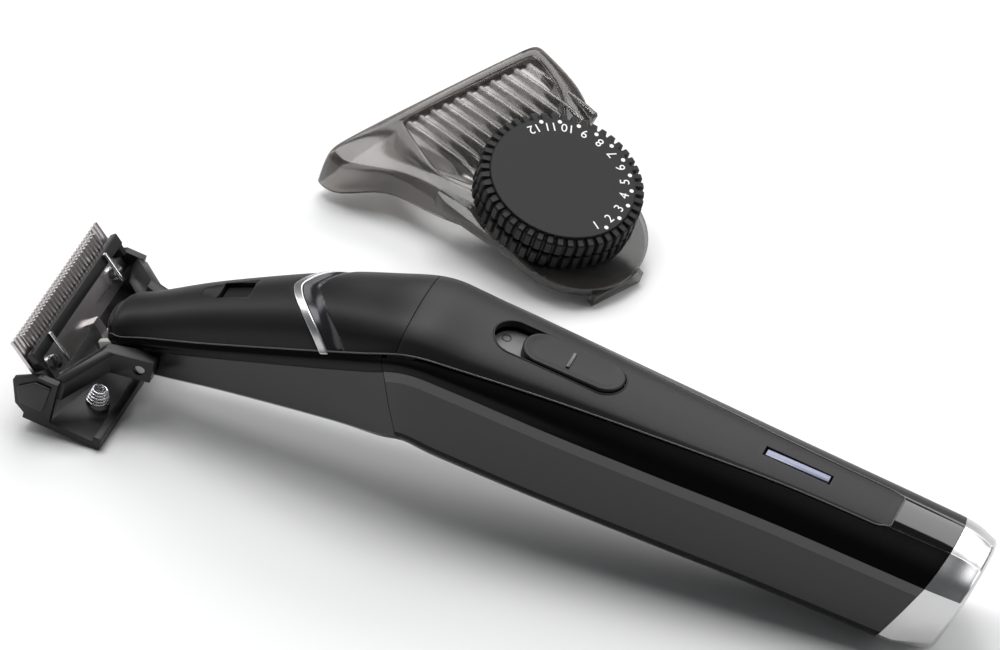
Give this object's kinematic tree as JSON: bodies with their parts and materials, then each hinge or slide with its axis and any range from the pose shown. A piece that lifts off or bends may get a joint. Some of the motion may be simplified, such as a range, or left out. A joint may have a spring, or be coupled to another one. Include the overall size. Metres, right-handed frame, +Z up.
{
  "type": "body groomer",
  "caption": "Cordless body groomer with a bent neck, wide T-shaped blade, slide switch and charge light, beside its dial-set comb attachment.",
  "frame": {"origin": "middle of the small flat on the heel of the end cap, on the surface that the groomer lies on", "axes": "+X from the head to the end cap along the groomer, +Y towards the comb lying beside it, +Z up, away from the surface"},
  "size_m": [0.1826, 0.1339, 0.0416],
  "materials": {
    "gloss_black": "high gloss moulded black",
    "graphite": "soft touch graphite",
    "matte_black": "fine satin black",
    "gunmetal": "dark metallic gloss",
    "dark_grey": "satin dark grey",
    "satin_silver": "satin silver plating",
    "label_grey": "printed light grey",
    "light_lens": "milky lavender lens",
    "cell": "sleeved cell",
    "contact": "plated spring contact",
    "board": "solder-masked board",
    "steel": "ground steel",
    "wire": "bright spring wire",
    "seal": "soft black rubber",
    "lever_grey": "light grey acetal",
    "brass_pin": "turned brass",
    "smoke": "smoked translucent plastic",
    "dial_black": "satin black, knurled rim"
  },
  "bodies": {
    "handle": {"rear_shell": "gloss_black", "neck_underside": "dark_grey", "front_panel": "graphite", "neck_cover": "matte_black", "silver_trim": "satin_silver", "thumb_inlay": "gunmetal", "end_cap": "satin_silver", "switch_plate": "label_grey", "charge_light": "light_lens", "battery": "cell", "battery_contacts": "contact", "circuit_board": "board", "switch_contact": "matte_black", "motor_can": "steel", "motor_bracket": "dark_grey", "charging_socket": "matte_black", "shaft_seal": "seal", "case_screws": "steel", "latch_spring": "wire", "lever_pin": "brass_pin", "head_pivot_pins": "steel"},
    "switch": {"switch_slider": "graphite"},
    "rotor": {"motor_shaft": "steel", "motor_eccentric": "lever_grey"},
    "latch": {"latch_button": "matte_black"},
    "lever": {"drive_lever": "lever_grey"},
    "head": {"head_frame": "dark_grey", "head_arm_left": "dark_grey", "head_arm_right": "dark_grey", "side_pads": "dark_grey", "blade_carrier": "dark_grey", "fixed_blade": "steel", "contour_springs": "wire", "head_spring": "wire", "blade_screws": "steel"},
    "cutter": {"moving_blade": "steel"},
    "comb": {"comb_base": "smoke", "dial_axle": "steel", "dial_spring": "wire"},
    "comb_slider": {"comb_guide": "smoke"},
    "dial": {"dial_wheel": "dial_black"}
  },
  "joints": [
    {"name": "switch_slide", "type": "slide", "parent": "handle", "child": "switch", "axis": [-0.9882, 0, 0.1532], "range_m": [0, 0.0054]},
    {"name": "rotor_spin", "type": "hinge", "parent": "handle", "child": "rotor", "pos_m": [-0.09598, 0, 0.02354], "axis": [0.9882, 0, -0.1532], "continuous": true},
    {"name": "latch_press", "type": "slide", "parent": "handle", "child": "latch", "axis": [0.3533, 0, -0.9355], "range_m": [0, 0.0006], "stiffness_N_per_m": 800, "deforming": ["latch_spring"]},
    {"name": "lever_swing", "type": "hinge", "parent": "handle", "child": "lever", "pos_m": [-0.14145, 0, 0.01596], "axis": [-0.3533, 0, 0.9355], "range_deg": [-2.17, 2.17]},
    {"name": "head_tilt", "type": "hinge", "parent": "handle", "child": "head", "pos_m": [-0.15142, 0, 0.0119], "axis": [0, 1, 0], "range_deg": [-4, 4], "stiffness_Nm_per_rad": 1, "deforming": ["head_spring"]},
    {"name": "cutter_stroke", "type": "slide", "parent": "head", "child": "cutter", "axis": [0, 1, 0], "range_m": [-0.0008, 0.0008]},
    {"name": "comb_apart", "type": "slide", "parent": "handle", "child": "comb", "axis": [0, 1, 0], "range_m": [0, 0.06]},
    {"name": "dial_turn", "type": "hinge", "parent": "comb", "child": "dial", "pos_m": [-0.099, 0.07, 0.01727], "axis": [0.2404, -0.1278, 0.9622], "range_deg": [0, 330]},
    {"name": "comb_length", "type": "slide", "parent": "comb", "child": "comb_slider", "axis": [-0.8496, 0.4517, 0.2723], "range_m": [0, 0.00501]}
  ],
  "couplings": [
    {"joint": "lever_swing", "follows": "cutter_stroke", "rad_per_m": -47.17},
    {"joint": "comb_length", "follows": "dial_turn", "m_per_rad": 0.00086812}
  ]
}
